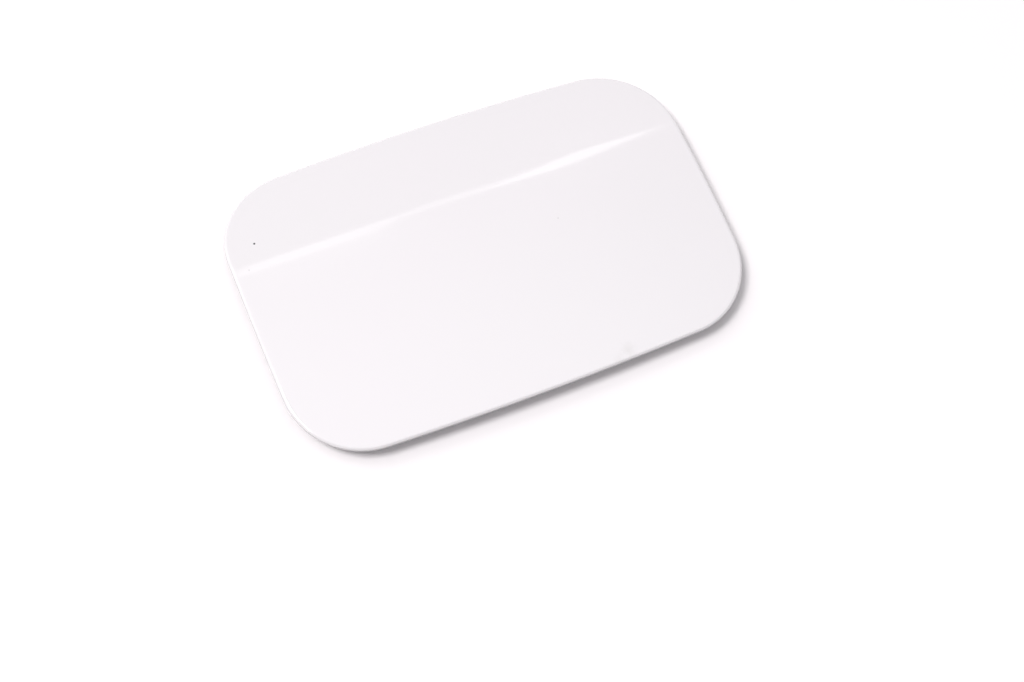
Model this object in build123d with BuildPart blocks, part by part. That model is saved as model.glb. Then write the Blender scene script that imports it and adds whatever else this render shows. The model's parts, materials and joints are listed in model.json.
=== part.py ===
from build123d import *
from math import cos, degrees, asin, radians, sin, tan
import os

# Fuel filler flap: a hemmed steel panel with a creased, crowned face, hung on a low leaf hinge.
# X runs along the long side, with the hinge at +X. Y runs towards the crease. Z points out of
# the painted face. Z = 0 is the ledge that the hinge base and the rubber buffers sit on.

# Panel outline, measured over the bowed sides
panel_width = 190.0
panel_height = 122.0
long_side_bow = 3.0
short_side_bow = 1.2
corner_radius = 31.0

# Crowned face with a crease and a strip bent down beyond it
crown_radius_x = 3000.0
crown_radius_y = 1000.0
crown_apex_y = -7.0
strip_width = 36.2
strip_angle = 10.0
crease_radius = 40.0

# Working blocks reach past the panel by this factor, and walls are told by their slope
overreach = 1.2
steep_limit = 0.5

# Sheet metal and the hem that holds the inner panel
skin_thickness = 0.8
pan_thickness = 0.7
seam_gap = 0.1
hem_width = 8.0
hem_edge_flat = 0.1
channel_end_gap = 0.3

# Tray pressed into the inner panel
tray_inset = 11.0
tray_bend_radius = 3.0
tray_crease_gap = 8.0
tray_corner_radius = 14.0
corner_cavity = 1.8
drain_diameter = 8.0
drain_spacing = 76.0
drain_edge_gap = 13.0

# Hinge leaves, knuckles and pin
leaf_thickness = 1.2
pin_diameter = 3.0
running_clearance = 0.05
hinge_inset = 6.0
hinge_center_y = -14.0
knuckle_length = 9.0
knuckle_gap = 0.25
roll_slit = 0.35
leaf_clearance = 0.5
arm_length = 49.0
arm_corner_radius = 6.0
base_length = 31.0
base_ear = 6.0
base_corner_radius = 5.0
base_hole_diameter = 6.5
base_hole_spacing = 40.0
base_hole_setback = 22.0
pin_head_diameter = 5.0
pin_head_height = 1.2
pin_tail = 1.4
pin_chamfer = 0.3
clip_thickness = 0.6
clip_diameter = 5.2
clip_gap = 0.05
clip_mouth = 1.9
groove_diameter = 2.4

# Torsion spring on the pin
wire_diameter = 0.8
spring_bore_clearance = 0.1
spring_turns = 4
spring_pitch = 0.9
spring_end_gap = 1.6
leg_slope = 7.0
leg_length = 11.0
leg_seat_gap = 0.05

# Rivets
rivet_clearance = 0.1
arm_rivet_diameter = 4.0
arm_rivet_head_diameter = 7.0
arm_rivet_head_height = 1.2
arm_rivet_edge = 8.0
arm_rivet_pitch_x = 22.0
arm_rivet_pitch_y = 14.0
keeper_rivet_diameter = 3.0
keeper_rivet_head_diameter = 5.4
keeper_rivet_head_height = 1.0
closing_head_height = 0.9
closing_head_ratio = 1.5
rivet_dome = 0.7

# Lock keeper
keeper_thickness = 1.0
keeper_width = 9.0
keeper_inset = 21.0
keeper_center_y = -17.0
keeper_opening = 13.0
keeper_foot = 8.0
keeper_ledge_gap = 0.3
keeper_bend_radius = 1.0

# Rubber buffers
buffer_diameter = 12.0
buffer_neck_diameter = 5.0
buffer_neck_clearance = 0.1
buffer_bulb_diameter = 6.6
buffer_bulb_height = 1.8
buffer_edge_radius = 1.5
bulb_dome = 0.5
buffer_inset_x = 33.0
buffer_inset_y = 21.0
buffer_crease_gap = 19.0

# Sizes that follow from the ones above
hem_stack = 2 * skin_thickness + pan_thickness + 2 * seam_gap
hem_edge_radius = (hem_stack - hem_edge_flat) / 2
pan_depth = skin_thickness + seam_gap
hem_depth = pan_depth + pan_thickness + seam_gap
crease_y = panel_height / 2 - strip_width
barrel_diameter = pin_diameter + 2 * running_clearance + 2 * leaf_thickness
bore_diameter = pin_diameter + 2 * running_clearance
axis_x = panel_width / 2 - hinge_inset
axis_z = barrel_diameter / 2
tray_floor_z = barrel_diameter
tray_half_width = panel_width / 2 - tray_inset
tray_lower_reach = panel_height / 2 - tray_inset + crown_apex_y
corner_drop = tray_half_width**2 / (2 * crown_radius_x) + tray_lower_reach**2 / (2 * crown_radius_y)
crown_top = tray_floor_z + pan_thickness + corner_cavity + skin_thickness + corner_drop
crease_rise = crease_y - crown_apex_y
crease_z = crown_top - crown_radius_y + (crown_radius_y**2 - crease_rise**2) ** 0.5
long_side_radius = (panel_width / 2) ** 2 / (2 * long_side_bow) + long_side_bow / 2
short_side_radius = (panel_height / 2) ** 2 / (2 * short_side_bow) + short_side_bow / 2
clear_of_part = 2 * crown_top

# Spring and knuckles, laid out along the hinge axis
spring_radius = pin_diameter / 2 + spring_bore_clearance + wire_diameter / 2
coil_angle = 360 * spring_turns + 180 + 2 * leg_slope
coil_height = spring_pitch * coil_angle / 360
spring_bay = coil_height + wire_diameter + spring_end_gap
leg_drop = (spring_radius + wire_diameter / 2 + leg_seat_gap) / cos(radians(leg_slope))
notch_depth = (leaf_thickness - axis_z + leg_drop) / tan(radians(leg_slope))
arm_width = 2 * knuckle_length + spring_bay
barrel_length = arm_width + 2 * knuckle_length + 2 * knuckle_gap
base_width = barrel_length + 2 * base_ear
barrel_start = hinge_center_y - barrel_length / 2
barrel_end = hinge_center_y + barrel_length / 2
arm_knuckle_ends = [hinge_center_y - spring_bay / 2, hinge_center_y + arm_width / 2]
base_knuckle_ends = [barrel_start + knuckle_length, barrel_end]
base_edge_x = axis_x - barrel_diameter / 2 - leaf_clearance

# Places on the tray floor
arm_rivet_x = axis_x - arm_length + arm_rivet_edge
arm_rivet_points = [
    (arm_rivet_x + step * arm_rivet_pitch_x, hinge_center_y + side * arm_rivet_pitch_y / 2)
    for step in (0, 1)
    for side in (-1, 1)
]
keeper_x = keeper_inset - panel_width / 2
keeper_reach = keeper_opening / 2 + keeper_thickness + keeper_foot
keeper_rivet_points = [
    (keeper_x, keeper_center_y + side * (keeper_reach - keeper_foot / 2)) for side in (-1, 1)
]
base_hole_points = [
    (axis_x - base_hole_setback, hinge_center_y + side * base_hole_spacing / 2) for side in (-1, 1)
]
buffer_x = buffer_inset_x - panel_width / 2
buffer_upper_point = (buffer_x, crease_y - buffer_crease_gap)
buffer_lower_point = (buffer_x, buffer_inset_y - panel_height / 2)
drain_y = tray_inset + drain_edge_gap - panel_height / 2
drain_points = [(side * drain_spacing / 2, drain_y) for side in (-1, 1)]


def outline(inset):
    """The flap's outline, drawn in by the given distance all round."""
    long_radius = long_side_radius - inset
    short_radius = short_side_radius - inset
    long_reach = panel_height / 2 - long_side_radius
    short_reach = panel_width / 2 - short_side_radius
    with BuildSketch() as sketch:
        with Locations((0, long_reach)):
            Circle(long_radius)
        with Locations((0, -long_reach)):
            Circle(long_radius, mode=Mode.INTERSECT)
        with Locations((short_reach, 0)):
            Circle(short_radius, mode=Mode.INTERSECT)
        with Locations((-short_reach, 0)):
            Circle(short_radius, mode=Mode.INTERSECT)
        fillet(sketch.vertices(), corner_radius - inset)
    return sketch.sketch


def column(face, bottom=-clear_of_part):
    """A tall block on a face of the XY plane, from the given height up past the crown."""
    with BuildPart() as block:
        with BuildSketch(Plane.XY.offset(bottom)):
            add(face)
        extrude(amount=clear_of_part - bottom)
    return block.part


def under_face(depth):
    """All that lies under the painted face by at least the given depth, measured square to it."""
    half_arc = degrees(asin(overreach * panel_width / (2 * crown_radius_x)))
    axis_height = crown_top - crown_radius_x
    plane = Plane(
        origin=(0, 0, axis_height),
        x_dir=(0, 1, 0),
        z_dir=(cos(radians(half_arc)), 0, sin(radians(half_arc))),
    )
    with BuildPart() as body:
        with BuildSketch(plane) as section:
            with Locations((0, crown_radius_x)):
                Rectangle(overreach * panel_height, 2 * clear_of_part)
            with Locations((crown_apex_y, crown_radius_x - crown_radius_y)):
                Circle(crown_radius_y - depth, mode=Mode.INTERSECT)
            slope = radians(strip_angle)
            strip_point = (crease_y - depth * sin(slope), crease_z - axis_height - depth * cos(slope))
            with Locations(Location(strip_point, -strip_angle)):
                Rectangle(
                    2 * panel_height,
                    panel_height,
                    align=(Align.CENTER, Align.MAX),
                    mode=Mode.INTERSECT,
                )
            ridge = section.vertices().sort_by_distance((crease_y, crease_z - axis_height))[0]
            fillet(ridge, crease_radius - depth)
        revolve(axis=Axis((0, 0, axis_height), (0, 1, 0)), revolution_arc=2 * half_arc)
    return body.part


def cross_plane(y):
    """A plane square to the hinge axis whose sketches are extruded towards -Y."""
    return Plane.XZ.offset(-y)


def tray_block(inset):
    """The space inside the pressed tray, drawn in all round and up from its floor."""
    with BuildPart() as block:
        with BuildSketch(Plane.XY.offset(tray_floor_z + inset)) as floor:
            add(outline(tray_inset + inset))
            with Locations((0, crease_y - tray_crease_gap - inset)):
                Rectangle(
                    panel_width, panel_height, align=(Align.CENTER, Align.MAX), mode=Mode.INTERSECT
                )
            fillet(floor.vertices().group_by(Axis.Y)[-1], tray_corner_radius - inset)
        extrude(amount=clear_of_part)
        fillet(block.edges().group_by(Axis.Z)[0], tray_bend_radius - inset)
    return block.part


def rivet_set(points, shank_diameter, head_diameter, head_height, plate_thickness):
    """Rivets through a plate under the tray floor, headed below and closed above."""
    head_z = tray_floor_z - plate_thickness - head_height
    closing_z = tray_floor_z + pan_thickness
    with BuildPart() as rivets:
        with BuildSketch(Plane.XY.offset(head_z)):
            with Locations(points):
                Circle(head_diameter / 2)
        extrude(amount=head_height)
        fillet(rivets.edges().group_by(Axis.Z)[0], head_height * rivet_dome)
        with BuildSketch(Plane.XY.offset(head_z)):
            with Locations(points):
                Circle(shank_diameter / 2)
        extrude(amount=closing_z - head_z)
        with BuildSketch(Plane.XY.offset(closing_z)):
            with Locations(points):
                Circle(closing_head_ratio * shank_diameter / 2)
        extrude(amount=closing_head_height)
        fillet(rivets.edges().group_by(Axis.Z)[-1], closing_head_height * rivet_dome)
    return rivets.part


def buffer_plug(point):
    """A rubber buffer with its foot on the ledge and its bulb snapped through the tray floor."""
    neck_top = tray_floor_z + pan_thickness
    with BuildPart() as plug:
        with BuildSketch():
            with Locations(point):
                Circle(buffer_diameter / 2)
        extrude(amount=tray_floor_z)
        fillet(plug.edges().group_by(Axis.Z)[0], buffer_edge_radius)
        with BuildSketch(Plane.XY.offset(tray_floor_z)):
            with Locations(point):
                Circle(buffer_neck_diameter / 2)
        extrude(amount=pan_thickness)
        with BuildSketch(Plane.XY.offset(neck_top)):
            with Locations(point):
                Circle(buffer_bulb_diameter / 2)
        extrude(amount=buffer_bulb_height)
        fillet(plug.edges().group_by(Axis.Z)[-1], buffer_bulb_height * bulb_dome)
    return plug.part


def knuckle(end, leaf_low, slit_low):
    """One rolled knuckle that ends at the given Y, joined to its leaf and slit beside it."""
    with BuildPart() as roll:
        with BuildSketch(cross_plane(end)):
            with Locations((axis_x, axis_z)):
                Circle(barrel_diameter / 2)
            with Locations((axis_x, leaf_low)):
                Rectangle(axis_x - base_edge_x, leaf_thickness, align=(Align.MAX, Align.MIN))
            with Locations((axis_x, axis_z)):
                Circle(bore_diameter / 2, mode=Mode.SUBTRACT)
            with Locations((axis_x, slit_low)):
                Rectangle(
                    axis_x - base_edge_x, roll_slit, align=(Align.MAX, Align.MIN), mode=Mode.SUBTRACT
                )
        extrude(amount=knuckle_length)
    return roll.part


os.makedirs("parts", exist_ok=True)

# Channel inside the hem, which takes the inner panel's border
with BuildPart() as channel:
    add(under_face(skin_thickness))
    add(column(outline(skin_thickness)), mode=Mode.INTERSECT)
    add(under_face(hem_depth), mode=Mode.SUBTRACT)

# Space under the skin, inside the hem's free edge
with BuildPart() as window:
    add(under_face(skin_thickness))
    add(column(outline(hem_width)), mode=Mode.INTERSECT)

# Tray before it is hollowed, up to the underside of the skin
with BuildPart() as tray:
    add(under_face(pan_depth))
    add(tray_block(0), mode=Mode.INTERSECT)

# Outer panel: the skin, rolled round its rim and folded back under as a hem
with BuildPart() as outer_panel:
    add(under_face(0))
    add(column(outline(0)), mode=Mode.INTERSECT)
    add(under_face(hem_stack), mode=Mode.SUBTRACT)
    rim_walls = outer_panel.faces().filter_by(lambda f: abs(f.normal_at().Z) < steep_limit)
    rim_edges = rim_walls.edges().filter_by(lambda e: abs((e % 0.5).Z) < steep_limit)
    fillet(rim_edges, hem_edge_radius)
    add(channel.part, mode=Mode.SUBTRACT)
    add(window.part, mode=Mode.SUBTRACT)
outer_panel.part.label = "outer_panel"
export_step(outer_panel.part, "parts/outer_panel.step")

# Inner panel: a border that lies in the hem, and a tray pressed down from it
with BuildPart() as inner_panel:
    add(under_face(pan_depth))
    add(column(outline(skin_thickness + channel_end_gap)), mode=Mode.INTERSECT)
    add(under_face(pan_depth + pan_thickness), mode=Mode.SUBTRACT)
    add(tray.part)
    add(tray_block(pan_thickness), mode=Mode.SUBTRACT)
    with BuildSketch(Plane.XY.offset(tray_floor_z)):
        with Locations(arm_rivet_points):
            Circle(arm_rivet_diameter / 2 + rivet_clearance)
        with Locations(keeper_rivet_points):
            Circle(keeper_rivet_diameter / 2 + rivet_clearance)
        with Locations(buffer_upper_point, buffer_lower_point):
            Circle(buffer_neck_diameter / 2 + buffer_neck_clearance)
        with Locations(drain_points):
            Circle(drain_diameter / 2)
    extrude(amount=pan_thickness, mode=Mode.SUBTRACT)
inner_panel.part.label = "inner_panel"
export_step(inner_panel.part, "parts/inner_panel.step")

# Hinge arm: the flap's leaf, flat under the tray floor, with two knuckles
with BuildPart() as hinge_arm:
    with BuildSketch(Plane.XY.offset(tray_floor_z - leaf_thickness)) as arm_leaf:
        with Locations((base_edge_x, hinge_center_y)):
            Rectangle(arm_length - axis_x + base_edge_x, arm_width, align=(Align.MAX, Align.CENTER))
        fillet(arm_leaf.vertices().group_by(Axis.X)[0], arm_corner_radius)
        with Locations((axis_x, hinge_center_y)):
            Rectangle(notch_depth, spring_bay, align=(Align.MAX, Align.CENTER), mode=Mode.SUBTRACT)
        with Locations(arm_rivet_points):
            Circle(arm_rivet_diameter / 2 + rivet_clearance, mode=Mode.SUBTRACT)
    extrude(amount=leaf_thickness)
    for end in arm_knuckle_ends:
        add(knuckle(end, tray_floor_z - leaf_thickness, tray_floor_z - leaf_thickness - roll_slit))
hinge_arm.part.label = "hinge_arm"
export_step(hinge_arm.part, "parts/hinge_arm.step")

# Hinge base: the leaf that is bolted to the ledge, with a knuckle at each end of the barrel
with BuildPart() as hinge_base:
    with BuildSketch() as base_leaf:
        with Locations((base_edge_x, hinge_center_y)):
            Rectangle(base_length - axis_x + base_edge_x, base_width, align=(Align.MAX, Align.CENTER))
        fillet(base_leaf.vertices(), base_corner_radius)
        with Locations((axis_x, hinge_center_y)):
            Rectangle(notch_depth, spring_bay, align=(Align.MAX, Align.CENTER), mode=Mode.SUBTRACT)
        with Locations(base_hole_points):
            Circle(base_hole_diameter / 2, mode=Mode.SUBTRACT)
    extrude(amount=leaf_thickness)
    for end in base_knuckle_ends:
        add(knuckle(end, 0, leaf_thickness))
hinge_base.part.label = "hinge_base"
export_step(hinge_base.part, "parts/hinge_base.step")

# Hinge pin: headed at the upper end, with a groove for the clip at the lower end
groove_width = clip_thickness + 2 * clip_gap
with BuildPart() as hinge_pin:
    with BuildSketch(cross_plane(barrel_end)):
        with Locations((axis_x, axis_z)):
            Circle(pin_diameter / 2)
    extrude(amount=barrel_length + groove_width + pin_tail)
    chamfer(hinge_pin.edges().group_by(Axis.Y)[0], pin_chamfer)
    with BuildSketch(cross_plane(barrel_end + pin_head_height)):
        with Locations((axis_x, axis_z)):
            Circle(pin_head_diameter / 2)
    extrude(amount=pin_head_height)
    fillet(hinge_pin.edges().group_by(Axis.Y)[-1], pin_head_height * rivet_dome)
    with BuildSketch(cross_plane(barrel_start)):
        with Locations((axis_x, axis_z)):
            Circle(pin_diameter)
            Circle(groove_diameter / 2, mode=Mode.SUBTRACT)
    extrude(amount=groove_width, mode=Mode.SUBTRACT)
hinge_pin.part.label = "hinge_pin"
export_step(hinge_pin.part, "parts/hinge_pin.step")

# Pin clip: an open ring snapped into the groove
with BuildPart() as pin_clip:
    with BuildSketch(cross_plane(barrel_start - clip_gap)):
        with Locations((axis_x, axis_z)):
            Circle(clip_diameter / 2)
            Circle(groove_diameter / 2 + clip_gap, mode=Mode.SUBTRACT)
            Rectangle(clip_mouth, clip_diameter, align=(Align.CENTER, Align.MIN), mode=Mode.SUBTRACT)
    extrude(amount=clip_thickness)
pin_clip.part.label = "pin_clip"
export_step(pin_clip.part, "parts/pin_clip.step")

# Hinge spring: a coil round the pin whose two legs bear on the leaves
coil_start = (axis_x, hinge_center_y - coil_height / 2, axis_z)
hinge_axis = Axis((axis_x, 0, axis_z), (0, 1, 0))
coil_path = Helix(spring_pitch, coil_height, spring_radius, coil_start, (0, 1, 0))
coil_path = coil_path.rotate(hinge_axis, -leg_slope)
arm_leg_plane = Plane(origin=coil_path @ 0, z_dir=-(coil_path % 0))
base_leg_plane = Plane(origin=coil_path @ 1, z_dir=coil_path % 1)
with BuildPart() as hinge_spring:
    with BuildSketch(arm_leg_plane):
        Circle(wire_diameter / 2)
    sweep(path=coil_path, is_frenet=True)
    for leg_plane in (arm_leg_plane, base_leg_plane):
        with BuildSketch(leg_plane):
            Circle(wire_diameter / 2)
        extrude(amount=leg_length)
hinge_spring.part.label = "hinge_spring"
export_step(hinge_spring.part, "parts/hinge_spring.step")

# Rivets that hold the arm to the tray
with BuildPart() as arm_rivets:
    add(
        rivet_set(
            arm_rivet_points,
            arm_rivet_diameter,
            arm_rivet_head_diameter,
            arm_rivet_head_height,
            leaf_thickness,
        )
    )
arm_rivets.part.label = "arm_rivets"
export_step(arm_rivets.part, "parts/arm_rivets.step")

# Lock keeper: a strap bent into a loop for the lock's bolt, with a foot at each end
bar_z = keeper_ledge_gap + keeper_thickness / 2
foot_z = tray_floor_z - keeper_thickness / 2
leg_y = (keeper_opening + keeper_thickness) / 2
with BuildPart() as lock_keeper:
    with BuildSketch(Plane.YZ.offset(keeper_x - keeper_width / 2)):
        with BuildLine():
            FilletPolyline(
                (keeper_center_y - keeper_reach, foot_z),
                (keeper_center_y - leg_y, foot_z),
                (keeper_center_y - leg_y, bar_z),
                (keeper_center_y + leg_y, bar_z),
                (keeper_center_y + leg_y, foot_z),
                (keeper_center_y + keeper_reach, foot_z),
                radius=keeper_bend_radius + keeper_thickness / 2,
            )
            offset(amount=keeper_thickness / 2, side=Side.BOTH)
        make_face()
    extrude(amount=keeper_width)
    with BuildSketch(Plane.XY.offset(tray_floor_z)):
        with Locations(keeper_rivet_points):
            Circle(keeper_rivet_diameter / 2 + rivet_clearance)
    extrude(amount=-keeper_thickness, mode=Mode.SUBTRACT)
lock_keeper.part.label = "lock_keeper"
export_step(lock_keeper.part, "parts/lock_keeper.step")

# Rivets that hold the keeper to the tray
with BuildPart() as keeper_rivets:
    add(
        rivet_set(
            keeper_rivet_points,
            keeper_rivet_diameter,
            keeper_rivet_head_diameter,
            keeper_rivet_head_height,
            keeper_thickness,
        )
    )
keeper_rivets.part.label = "keeper_rivets"
export_step(keeper_rivets.part, "parts/keeper_rivets.step")

# Buffers near the two latch corners
with BuildPart() as buffer_upper:
    add(buffer_plug(buffer_upper_point))
buffer_upper.part.label = "buffer_upper"
export_step(buffer_upper.part, "parts/buffer_upper.step")
with BuildPart() as buffer_lower:
    add(buffer_plug(buffer_lower_point))
buffer_lower.part.label = "buffer_lower"
export_step(buffer_lower.part, "parts/buffer_lower.step")
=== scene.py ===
import json
import math

import bmesh
import bpy
import numpy as np
from mathutils import Matrix, Vector


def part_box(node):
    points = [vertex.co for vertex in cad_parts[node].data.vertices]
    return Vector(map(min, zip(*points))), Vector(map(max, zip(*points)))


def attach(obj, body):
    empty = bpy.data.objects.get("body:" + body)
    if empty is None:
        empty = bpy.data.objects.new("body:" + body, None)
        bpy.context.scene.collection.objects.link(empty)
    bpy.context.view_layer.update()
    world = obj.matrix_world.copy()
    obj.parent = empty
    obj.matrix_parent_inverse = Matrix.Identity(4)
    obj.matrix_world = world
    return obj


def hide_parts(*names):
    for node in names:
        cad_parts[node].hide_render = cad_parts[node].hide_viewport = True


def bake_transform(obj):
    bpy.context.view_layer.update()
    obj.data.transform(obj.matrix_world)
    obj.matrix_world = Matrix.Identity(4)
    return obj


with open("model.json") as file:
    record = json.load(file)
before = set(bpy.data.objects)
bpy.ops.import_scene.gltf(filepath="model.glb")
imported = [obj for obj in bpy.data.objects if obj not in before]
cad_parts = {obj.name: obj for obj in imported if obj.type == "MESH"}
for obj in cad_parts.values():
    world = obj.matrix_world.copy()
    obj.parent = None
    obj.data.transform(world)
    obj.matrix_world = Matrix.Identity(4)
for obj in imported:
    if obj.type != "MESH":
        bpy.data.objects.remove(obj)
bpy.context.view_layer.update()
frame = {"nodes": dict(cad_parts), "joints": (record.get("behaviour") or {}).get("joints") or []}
nodes = frame["nodes"]
hinge = frame["joints"][0]
mm = 0.001
print("frame loaded:", len(nodes), "nodes")

scene = bpy.context.scene
scene.view_settings.view_transform = "Standard"


# shader building blocks

def addNode(tree, kind, **settings):
    node = tree.nodes.new(kind)
    for key, value in settings.items():
        setattr(node, key, value)
    return node


def feed(tree, node, **inputs):  # a number, a colour or another node's output for each named input
    for key, value in inputs.items():
        byNumber = key.startswith("in") and key[2:].isdigit()  # in0 is the first socket
        socket = node.inputs[int(key[2:]) if byNumber else key]
        if isinstance(value, bpy.types.NodeSocket):
            tree.links.new(value, socket)
        else:
            socket.default_value = value
    return node


def mathNode(tree, operation, first, second=0.0):
    node = addNode(tree, "ShaderNodeMath", operation=operation)
    feed(tree, node, in0=first, in1=second)
    return node.outputs[0]


def mixColours(tree, factor, first, second):
    node = addNode(tree, "ShaderNodeMix", data_type="RGBA")
    feed(tree, node, in0=factor, in6=first, in7=second)
    return node.outputs[2]


def newGroup(name, inputs, outputs):  # an empty shader group with named sockets
    group = bpy.data.node_groups.new(name, "ShaderNodeTree")
    for label, kind, value in inputs:
        socket = group.interface.new_socket(label, in_out="INPUT", socket_type=kind)
        socket.default_value = value
    for label, kind in outputs:
        group.interface.new_socket(label, in_out="OUTPUT", socket_type=kind)
    return group, addNode(group, "NodeGroupInput"), addNode(group, "NodeGroupOutput")


noiseForm = {  # layers of detail in each noise, and how much finer the grain is than the grime
    "ragged": 4.0,
    "wave": 2.0,
    "drift": 3.0,
    "grimeAndShade": 6.0,
    "grain": 3.0,
    "grainGain": 22.0,
}


def objectNoise(tree, scale, detail):  # noise that stays with the piece
    place = addNode(tree, "ShaderNodeTexCoord")
    noise = addNode(tree, "ShaderNodeTexNoise")
    feed(tree, noise, Vector=place.outputs["Object"], Scale=scale, Detail=detail)
    return noise.outputs[0]


def makeSpotGroup():  # one ragged spot round a point, for chips, specks and smudges
    group, given, result = newGroup(
        "raggedSpot",
        [
            ("Centre", "NodeSocketVector", (0, 0, 0)),
            ("Radius", "NodeSocketFloat", 0.001),
            ("Feather", "NodeSocketFloat", 0.0005),
            ("Raggedness", "NodeSocketFloat", 0.0),
            ("Grain", "NodeSocketFloat", 800.0),
        ],
        [("Mask", "NodeSocketFloat")],
    )
    place = addNode(group, "ShaderNodeTexCoord")
    reach = addNode(group, "ShaderNodeVectorMath", operation="DISTANCE")
    feed(group, reach, in0=place.outputs["Object"], in1=given.outputs["Centre"])
    noise = objectNoise(group, given.outputs["Grain"], noiseForm["ragged"])
    wobble = mathNode(group, "MULTIPLY", noise, given.outputs["Raggedness"])
    ragged = mathNode(group, "ADD", reach.outputs["Value"], wobble)
    outer = mathNode(group, "ADD", given.outputs["Radius"], given.outputs["Feather"])
    fade = addNode(group, "ShaderNodeMapRange", interpolation_type="SMOOTHSTEP")
    feed(group, fade, in0=ragged, in1=given.outputs["Radius"], in2=outer, in3=1.0, in4=0.0)
    group.links.new(fade.outputs[0], result.inputs["Mask"])
    return group


def makeCoatGroup():  # the fine waviness of sprayed paint, and slow drifts of tone
    group, given, result = newGroup(
        "sprayedCoat",
        [
            ("Wave Scale", "NodeSocketFloat", 400.0),
            ("Drift Scale", "NodeSocketFloat", 10.0),
        ],
        [("Height", "NodeSocketFloat"), ("Drift", "NodeSocketFloat")],
    )
    wave = objectNoise(group, given.outputs["Wave Scale"], noiseForm["wave"])
    drift = objectNoise(group, given.outputs["Drift Scale"], noiseForm["drift"])
    group.links.new(wave, result.inputs["Height"])
    group.links.new(drift, result.inputs["Drift"])
    return group


def makeGrimeGroup():  # thin dust and handling marks
    group, given, result = newGroup(
        "handlingGrime",
        [
            ("Scale", "NodeSocketFloat", 60.0),
            ("Threshold", "NodeSocketFloat", 0.5),
            ("Spread", "NodeSocketFloat", 0.2),
        ],
        [("Mask", "NodeSocketFloat"), ("Grain", "NodeSocketFloat")],
    )
    cloud = objectNoise(group, given.outputs["Scale"], noiseForm["grimeAndShade"])
    grainScale = mathNode(group, "MULTIPLY", given.outputs["Scale"], noiseForm["grainGain"])
    grain = objectNoise(group, grainScale, noiseForm["grain"])
    top = mathNode(group, "ADD", given.outputs["Threshold"], given.outputs["Spread"])
    mask = addNode(group, "ShaderNodeMapRange", interpolation_type="SMOOTHSTEP")
    feed(group, mask, in0=cloud, in1=given.outputs["Threshold"], in2=top)
    group.links.new(mask.outputs[0], result.inputs["Mask"])
    group.links.new(grain, result.inputs["Grain"])
    return group


spotGroup = makeSpotGroup()
coatGroup = makeCoatGroup()
grimeGroup = makeGrimeGroup()


def useGroup(tree, group, **inputs):
    node = addNode(tree, "ShaderNodeGroup", node_tree=group)
    for label, value in inputs.items():
        feed(tree, node, **{label.replace("_", " "): value})
    return node


def newMaterial(name, roughness, metallic=0.0, ior=1.5):
    material = bpy.data.materials.new(name)
    material.use_nodes = True
    tree = material.node_tree
    shader = tree.nodes["Principled BSDF"]
    shader.inputs["Roughness"].default_value = roughness
    shader.inputs["Metallic"].default_value = metallic
    shader.inputs["IOR"].default_value = ior
    return material, tree, shader


def addBump(tree, shader, height, strength, distance):
    bump = addNode(tree, "ShaderNodeBump")
    feed(tree, bump, Strength=strength, Distance=distance, Height=height)
    tree.links.new(bump.outputs["Normal"], shader.inputs["Normal"])


# pieces: shading, finish and the body that carries them

def placeObject(name, data):
    thing = bpy.data.objects.new(name, data)
    scene.collection.objects.link(thing)
    return thing


def smoothMesh(mesh, sharpAngle=32.0):  # smooth faces, with hard edges left where it really turns
    work = bmesh.new()
    work.from_mesh(mesh)
    bmesh.ops.recalc_face_normals(work, faces=work.faces)
    work.to_mesh(mesh)
    work.free()
    mesh.polygons.foreach_set("use_smooth", [True] * len(mesh.polygons))
    mesh.set_sharp_from_angle(angle=math.radians(sharpAngle))
    return mesh


def coverWith(piece, material):
    piece.data.materials.clear()
    piece.data.materials.append(material)


def dress(piece, material, body, replaced):
    coverWith(piece, material)
    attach(piece, body)
    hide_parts(replaced)


# the outer skin: one sheet, crowned both ways, creased, and rolled under round its rim

skinForm = {  # millimetres and degrees
    "longBow": 3.0,
    "shortBow": 1.2,
    "cornerRadius": 31.0,
    "crownRadiusX": 3000.0,
    "crownRadiusY": 1000.0,
    "crownApexY": -7.0,
    "stripWidth": 36.2,
    "stripAngle": 10.0,
    "creaseRadius": 40.0,
    "sheet": 0.8,
    "hemStack": 2.5,
    "hemDepth": 1.7,
    "hemWidth": 8.0,
    "edgeRadius": 1.2,
    "cutEdgeEase": 0.15,
    "bandInset": 6.0,
    "columns": 150,
    "rows": 112,
    "creaseRowGain": 3.0,  # rows are this much denser at the crease
    "creaseRowReach": 6.0,
    "rollSteps": 8,
    "arcSamples": 600,
    "shadeDepth": (0.4, 1.1),  # where the painted shade on the rim's turn begins and is full
    "shadeInset": (1.4, 3.2),  # and where it has faded away under the hem
}
skinLow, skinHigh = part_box("outer_panel")
halfWidth = (skinHigh.x - skinLow.x) / 2 / mm
halfHeight = round((skinHigh.y - skinLow.y) / 2 / mm, 1)  # the solid's mesh falls a hair short here
crownTop = skinHigh.z / mm
creaseY = halfHeight - skinForm["stripWidth"]


def creaseCentre(form):  # centre of the crease's round, one radius inside the crown and the strip
    slope = math.radians(form["stripAngle"])
    ringZ = crownTop - form["crownRadiusY"]
    rise = creaseY - form["crownApexY"]
    creaseZ = ringZ + math.sqrt(form["crownRadiusY"] ** 2 - rise**2)
    inner = form["crownRadiusY"] - form["creaseRadius"]
    lineZ = creaseZ - form["creaseRadius"] / math.cos(slope) - ringZ
    # the strip's parallel, z = lineZ - (y - creaseY) * tan(slope), cut with the inner ring
    fall = math.tan(slope)
    start = lineZ + (creaseY - form["crownApexY"]) * fall
    squareTerm = 1 + fall**2
    halfTerm = start * fall
    root = math.sqrt(halfTerm**2 - squareTerm * (start**2 - inner**2))
    fromApex = (halfTerm - root) / squareTerm
    return form["crownApexY"] + fromApex, ringZ + start - fromApex * fall, creaseZ


roundY, roundZ, creaseZ = creaseCentre(skinForm)


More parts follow.
